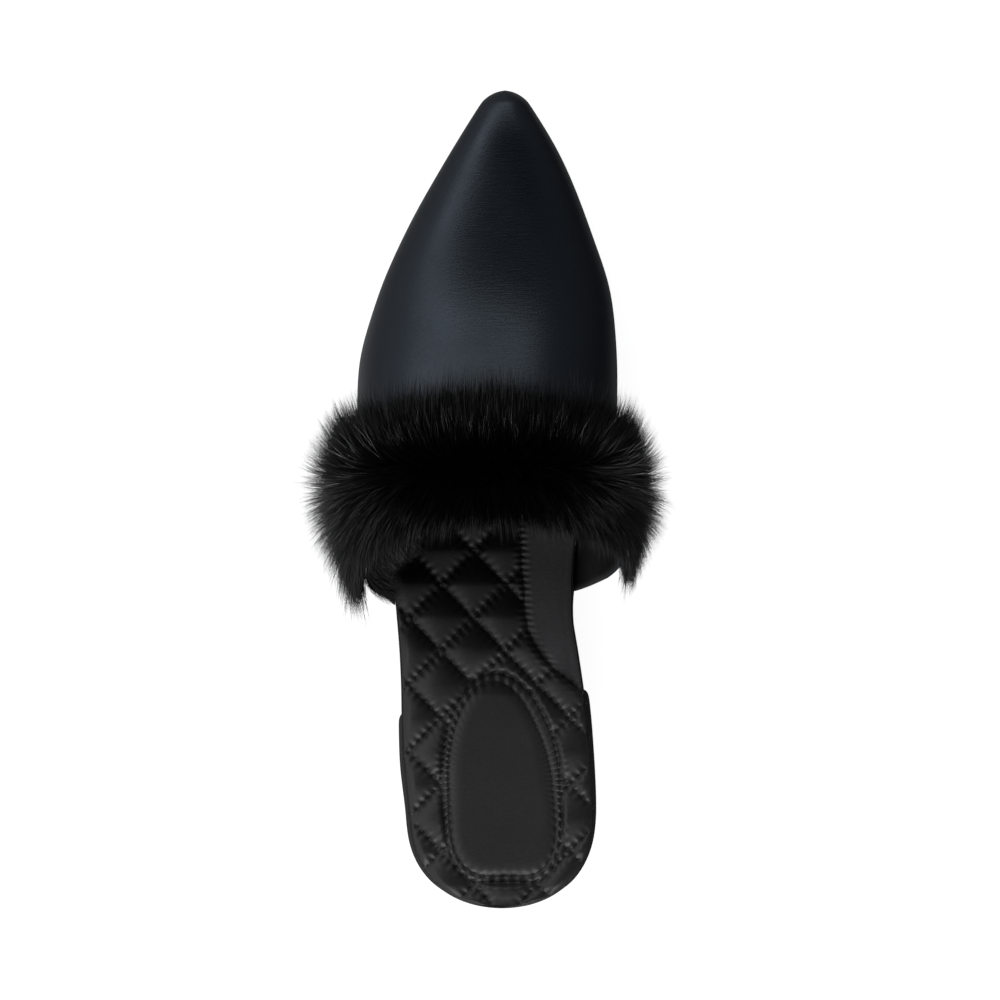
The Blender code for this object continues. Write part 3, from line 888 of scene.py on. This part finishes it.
def pelt_mesh():
    """Hide and underfur as one dark body that the hairs stand on."""
    depth_at = PELT_DEPTH * np.sqrt(np.sin(math.pi * np.linspace(0.03, 0.97, PLACE_ROWS)))
    end = np.clip(np.minimum(np.arange(TURN_COLUMNS), np.arange(TURN_COLUMNS)[::-1]) / 5, 0.15, 1)
    outer = strip_points + strip_normals * (0.0006 + depth_at[None, :, None] * end[:, None, None])
    inner = strip_points + strip_normals * 0.0004
    points = np.concatenate([outer.reshape(-1, 3), inner.reshape(-1, 3)])
    shift = TURN_COLUMNS * PLACE_ROWS
    faces = []
    for i in range(TURN_COLUMNS - 1):
        for j in range(PLACE_ROWS - 1):
            a, b = i * PLACE_ROWS + j, (i + 1) * PLACE_ROWS + j
            faces.append((a, b, b + 1, a + 1))
            faces.append((a + shift, a + 1 + shift, b + 1 + shift, b + shift))
        for j in (0, PLACE_ROWS - 1):
            a, b = i * PLACE_ROWS + j, (i + 1) * PLACE_ROWS + j
            faces.append((a, a + shift, b + shift, b) if j == 0 else (b, b + shift, a + shift, a))
    for i in (0, TURN_COLUMNS - 1):
        for j in range(PLACE_ROWS - 1):
            a = i * PLACE_ROWS + j
            end_face = (a, a + 1, a + 1 + shift, a + shift)
            faces.append(end_face if i == 0 else (a + 1, a, a + shift, a + 1 + shift))
    mesh = bpy.data.meshes.new("fur_pelt")
    mesh.from_pydata(points.tolist(), [], faces)
    return mesh


def lowest(x, along):
    """Height of what lies under a point: the footbed, or the floor beside it."""
    row = np.clip(np.searchsorted(places, along), 0, len(places) - 1)
    left, right = grid[row, 0, 0], grid[row, -1, 0]
    column = np.clip((x - left) / (right - left) * (len(columns) - 1), 0, len(columns) - 1).astype(int)
    over = (x > left) & (x < right) & (along > places[0])
    return np.where(over, grid[row, column, 2] + 0.0004, 0.0006)


def hair_way(u, v, stand):
    """Root of a hair and the ways that its root and its tip point, at shares u and v of the strip."""
    root = strip_at(u, v, strip_points)
    normal = unit(strip_at(u, v, strip_normals))
    forward = unit(strip_at(u, v, strip_forward))
    turn = strip_turns[0] + u * (strip_turns[-1] - strip_turns[0])
    crest = np.clip(np.sin(turn), 0, 1)
    parting = 0.52 + 0.14 * (1 - crest)
    comb = (v - parting) / np.where(v > parting, 1 - parting, parting)
    comb = (np.sign(comb) * abs(comb) ** 0.75)[:, None]
    fall = (1 - crest)[:, None]
    lip = (np.clip((LIP_SHARE - v) / LIP_SHARE, 0, 1) * crest)[:, None]
    down = np.array([0.0, 0.0, -1.0])
    start = normal * stand * (1 - 0.3 * abs(comb)) + forward * comb * 0.80 + down * fall * 0.15
    end = normal * (0.42 - 0.7 * lip) + forward * comb * 1.25 + down * (fall * 0.32 + 0.9 * lip)
    end += down * np.where(comb < 0, 0.20, 0.0)
    rear = np.clip((0.5 - v) / 0.5, 0, 1)[:, None]
    inward = np.where(u < 0.5, 1.0, -1.0)[:, None] * np.array([1.0, 0.0, 0.0])
    turned = np.where(u < 0.5, 0.80, 1.05)[:, None]
    end += inward * fall * rear * turned + np.array([0.0, -1.0, 0.0]) * fall * rear * 0.10
    return root, normal, unit(start), unit(end)


def lip_way(u, v, stand):
    """The same for the hairs that are turned over the topline, into the shoe."""
    root = strip_at(u, v * 0, strip_points)
    normal = unit(strip_at(u, v * 0, strip_normals))
    forward = unit(strip_at(u, v * 0, strip_forward))
    down = np.array([0.0, 0.0, -1.0])
    start = -forward * 1.0 - down * 0.3 - normal * 0.4 * v[:, None]
    end = -normal * (0.9 + 0.9 * v[:, None]) - forward * 0.5 + down * 0.35 * stand
    return root, normal, unit(start), unit(end)


def hair_mesh(name, count, length, width, segments, seed, clump, stand, way=hair_way, last=1.0):
    """Tapered flat hairs, rooted over the strip, gathered into tufts and bent by their weight."""
    draw = np.random.default_rng(seed)
    u = draw.uniform(0, last, count)
    v = draw.uniform(0, 1, count)
    root, normal, start, end = way(u, v, stand)
    tuft_u = np.clip((np.round(u * 90) + 0.3 * np.sin(v * 37)) / 90, 0, 1)
    tuft_v = np.clip((np.round(v * 18) + 0.3 * np.sin(u * 91)) / 18, 0, 1)
    tuft_root, _, tuft_start, tuft_end = way(tuft_u, tuft_v, stand)
    start = unit(start + draw.normal(0, 0.16, (count, 3)))
    end = unit(end + draw.normal(0, 0.20, (count, 3)))
    crest = np.clip(np.sin(strip_turns[0] + u * (strip_turns[-1] - strip_turns[0])), 0, 1)
    short_front = 1 - 0.30 * (1 - crest) * np.clip((v - 0.6) / 0.4, 0, 1)
    rear = np.clip((0.5 - v) / 0.5, 0, 1)
    longer_rear = np.where(u < 0.5, 0.08, -0.34) * rear
    longer_side = np.where(u < 0.5, 0.12, -0.08)
    long_rear = 1 + (1 - crest) * (longer_rear + longer_side)
    long_rear *= 1 - 0.52 * crest * np.clip((0.45 - v) / 0.45, 0, 1)
    spread = 0.66 + 0.40 * draw.uniform(0, 1, count) + 0.30 * draw.uniform(0, 1, count) ** 9
    reach = (length * short_front * long_rear * spread)[:, None]
    pull = clump * draw.uniform(0.1, 1.0, (count, 1))
    tuft_length = length * (0.92 + 0.16 * np.sin(tuft_u * 531 + tuft_v * 217)[:, None])
    rows = []
    for share in np.linspace(0, 1, segments + 1):
        curve = start * (share - share**2 / 2) + end * share**2 / 2
        tuft_curve = tuft_start * (share - share**2 / 2) + tuft_end * share**2 / 2
        own = root + curve * reach
        shared = tuft_root + tuft_curve * tuft_length
        rows.append(own + (shared - own) * pull * share**1.2)
    line = np.stack(rows, axis=1)
    floor_under = lowest(line[:, :, 0], line[:, :, 1] - HEEL_BACK)
    line[:, 1:, 2] = np.maximum(line[:, 1:, 2], floor_under[:, 1:])
    ahead = unit(np.diff(line, axis=1, append=line[:, -1:] * 2 - line[:, -2:-1]))
    twist = draw.uniform(0, math.pi, (count, 1, 1))
    flat = unit(np.cross(ahead, normal[:, None, :]))
    up = np.cross(flat, ahead)
    across = flat * np.cos(twist) + up * np.sin(twist)
    thick = width * draw.uniform(0.7, 1.2, (count, 1, 1))
    taper = np.array([(1 - (k / segments) ** 1.6) for k in range(segments)])[None, :, None]
    left = line[:, :-1] - across[:, :-1] * thick * taper / 2
    right = line[:, :-1] + across[:, :-1] * thick * taper / 2
    size = 2 * segments + 1
    points = np.empty((count, size, 3))
    points[:, 0 : 2 * segments : 2] = left
    points[:, 1 : 2 * segments : 2] = right
    points[:, -1] = line[:, -1]
    return ribbons(name, points, segments)


def ribbons(name, points, segments):
    """A mesh of many ribbons, each with two points a step and one at its tip."""
    count, size = points.shape[:2]
    strip = []
    for k in range(segments - 1):
        strip += [2 * k, 2 * k + 1, 2 * k + 3, 2 * k + 2]
    strip += [2 * segments - 2, 2 * segments - 1, 2 * segments]
    loops = (np.array(strip)[None] + np.arange(count)[:, None] * size).ravel()
    counts = np.tile([4] * (segments - 1) + [3], count)
    starts = np.concatenate([[0], np.cumsum(counts)[:-1]])
    mesh = bpy.data.meshes.new(name)
    mesh.vertices.add(count * size)
    mesh.vertices.foreach_set("co", points.astype(np.float32).ravel())
    mesh.loops.add(len(loops))
    mesh.loops.foreach_set("vertex_index", loops.astype(np.int32))
    mesh.polygons.add(len(counts))
    mesh.polygons.foreach_set("loop_start", starts.astype(np.int32))
    mesh.update(calc_edges=True)
    return mesh


def fur(name, colour, roughness, gloss, spread):
    material, tree, shader = new_material(name, colour, roughness, Specular_IOR_Level=gloss)
    grain = place_group(tree, fine_grain, Size=0.0010, Height=0.0)
    tree.links.new(
        vary_colour(tree, grain.outputs["Mask"], grey(colour, 1 - spread), grey(colour, 1 + spread)),
        shader.inputs["Base Color"],
    )
    return material


pelt = finished("fur_pelt", pelt_mesh())
dress(pelt, fur("black_underfur", grey(FUR_BLACK, 0.5), 0.9, 0.1, 0.6), "fur", "fur_trim")
under_black = fur("black_underhair", FUR_BLACK, 0.40, 0.25, 0.8)
# The guard hairs are 2.4 times as light as the underhair and vary widely: partly the fur's own tone, partly
# painted glint on the strands.
guard_black_painted_glint = fur("black_guard_hair_painted_glint", grey(FUR_BLACK, 2.4), 0.28, 0.7, 0.95)
COATS = (
    ("fur_underhair_a", 31000, 0.0140, 0.00024, 3, 11, 0.45, 1.0, under_black),
    ("fur_underhair_b", 31000, 0.0155, 0.00022, 3, 12, 0.50, 0.9, under_black),
    ("fur_guard_hair_a", 17500, 0.0195, 0.00018, 5, 13, 0.60, 0.9, guard_black_painted_glint),
    ("fur_guard_hair_b", 17500, 0.0220, 0.00016, 5, 14, 0.60, 0.8, guard_black_painted_glint),
)
for name, count, length, width, segments, seed, clump, stand, black in COATS:
    coat = hair_mesh(name, count, length, width, segments, seed, clump, stand)
    dress(finished(name, coat), black, "fur")
lip_coat = hair_mesh("fur_lip_hair", 7000, 0.0150, 0.00020, 4, 15, 0.35, 1.0, lip_way, LIP_END)
dress(finished("fur_lip_hair", lip_coat), under_black, "fur")


# Studio
# The shoe stands on a table that the camera sees evenly white, lit all round by low soft boxes, and
# the camera looks straight down on it, toe up, from far enough away that the shoe hardly narrows
# towards the floor. The light that the table throws back on the shoe comes off a grey, painted darker
# on the medial side as painted shade.

METRES_PER_PIXEL = 0.0003219
PICTURE = 1000
LENS = 250.0
SENSOR = 36.0
FRAME_MIDDLE_ALONG = 0.1310  # the picture's middle, from the back of the heel
TABLE_PAINTED_LIGHT = 0.60  # how much of its light the table throws back on the lateral side: painted light
TABLE_PAINTED_SHADE = 0.10  # and on the medial side: painted shade
TABLE_PAINTED_SHADE_FROM = 0.02
TABLE_PAINTED_SHADE_AT = 0.08

camera_data = bpy.data.cameras.new("camera")
camera_data.lens = LENS
camera_data.sensor_width = SENSOR
camera_data.clip_end = 20.0
camera = bpy.data.objects.new("camera", camera_data)
camera.location = (0.0, FRAME_MIDDLE_ALONG + HEEL_BACK, METRES_PER_PIXEL * PICTURE * LENS / SENSOR)
bpy.context.scene.collection.objects.link(camera)
bpy.context.scene.camera = camera

floor_mesh = bpy.data.meshes.new("floor")
floor_mesh.from_pydata([(-6, -6, 0), (6, -6, 0), (6, 6, 0), (-6, 6, 0)], [], [(0, 1, 2, 3)])
floor = bpy.data.objects.new("floor", floor_mesh)
bpy.context.scene.collection.objects.link(floor)
floor_paint, paint, grey_floor = new_material("white_table", (0.22, 0.22, 0.22), 0.6)
white_floor = paint.nodes.new("ShaderNodeBsdfPrincipled")
white_floor.inputs["Base Color"].default_value = (0.5, 0.5, 0.5, 1.0)
white_floor.inputs["Emission Color"].default_value = (1.0, 1.0, 1.0, 1.0)
white_floor.inputs["Emission Strength"].default_value = 0.90
seen = paint.nodes.new("ShaderNodeLightPath")
either = paint.nodes.new("ShaderNodeMixShader")
paint.links.new(seen.outputs["Is Camera Ray"], either.inputs[0])
paint.links.new(grey_floor.outputs[0], either.inputs[1])
paint.links.new(white_floor.outputs[0], either.inputs[2])
paint.links.new(either.outputs[0], paint.nodes["Material Output"].inputs["Surface"])
floor_mesh.materials.append(floor_paint)

# The table's grey, seen only by light and not by the camera, runs from lighter on the lateral side to darker
# on the medial side: painted light and shade thrown on the shoe's two sides.
table_place = paint.nodes.new("ShaderNodeTexCoord")
table_axes = paint.nodes.new("ShaderNodeSeparateXYZ")
table_painted_shade = paint.nodes.new("ShaderNodeMapRange")
table_painted_shade.inputs["From Min"].default_value = TABLE_PAINTED_SHADE_FROM
table_painted_shade.inputs["From Max"].default_value = TABLE_PAINTED_SHADE_AT
table_painted_shade.inputs["To Min"].default_value = TABLE_PAINTED_LIGHT
table_painted_shade.inputs["To Max"].default_value = TABLE_PAINTED_SHADE
paint.links.new(table_place.outputs["Object"], table_axes.inputs[0])
paint.links.new(table_axes.outputs["X"], table_painted_shade.inputs["Value"])
paint.links.new(table_painted_shade.outputs["Result"], grey_floor.inputs["Base Color"])


def soft_box(name, azimuth, elevation, distance, width, height, power):
    """An area light that looks at the shoe from a bearing: 0 is the toe's side, 90 the medial."""
    light = bpy.data.lights.new(name, "AREA")
    light.shape = "RECTANGLE"
    light.size = width
    light.size_y = height
    light.energy = power
    box = bpy.data.objects.new(name, light)
    bearing, rise = math.radians(azimuth), math.radians(elevation)
    way = Vector((math.sin(bearing) * math.cos(rise), math.cos(bearing) * math.cos(rise), math.sin(rise)))
    target = Vector((0.0, 0.09, 0.02))
    box.location = target + way * distance
    box.rotation_euler = (-way).to_track_quat("-Z", "Y").to_euler()
    bpy.context.scene.collection.objects.link(box)


soft_box("heel_side", 180, 21, 2.6, 2.08, 0.7, 38)
soft_box("lateral_side", 270, 42, 1.4, 1.6, 1.0, 2.8)
soft_box("toe_side", 343, 37, 1.6, 1.8, 0.30, 4.8)

ROOM_HORIZON = 0.75  # brightness of the room's pale walls on the lateral side
ROOM_FAR_SIDE = 0.18  # share of it on the medial side
ROOM_ZENITH = 0.04  # share of it at the dark ceiling over the camera
WALL_TOP = 0.60  # sine of the elevation at which the walls begin to darken
CEILING = 0.86  # sine of the elevation from which it is dark

world = bpy.data.worlds.new("studio")
world.use_nodes = True
room = world.node_tree
background = room.nodes["Background"]
background.inputs["Color"].default_value = (0.95, 0.97, 1.0, 1.0)
way = room.nodes.new("ShaderNodeTexCoord")
height = room.nodes.new("ShaderNodeSeparateXYZ")
fade = room.nodes.new("ShaderNodeMapRange")
fade.inputs["From Min"].default_value = WALL_TOP
fade.inputs["From Max"].default_value = CEILING
fade.inputs["To Min"].default_value = ROOM_HORIZON
fade.inputs["To Max"].default_value = ROOM_HORIZON * ROOM_ZENITH
sideways = room.nodes.new("ShaderNodeMapRange")
sideways.inputs["From Min"].default_value = -1.0
sideways.inputs["From Max"].default_value = 1.0
sideways.inputs["To Min"].default_value = 1.0
sideways.inputs["To Max"].default_value = ROOM_FAR_SIDE
level = room.nodes.new("ShaderNodeMath")
level.operation = "MULTIPLY"
room.links.new(way.outputs["Generated"], height.inputs["Vector"])
room.links.new(height.outputs["Z"], fade.inputs["Value"])
room.links.new(height.outputs["X"], sideways.inputs["Value"])
room.links.new(fade.outputs["Result"], level.inputs[0])
room.links.new(sideways.outputs["Result"], level.inputs[1])
room.links.new(level.outputs[0], background.inputs["Strength"])
bpy.context.scene.world = world
bpy.context.scene.view_settings.view_transform = "Standard"
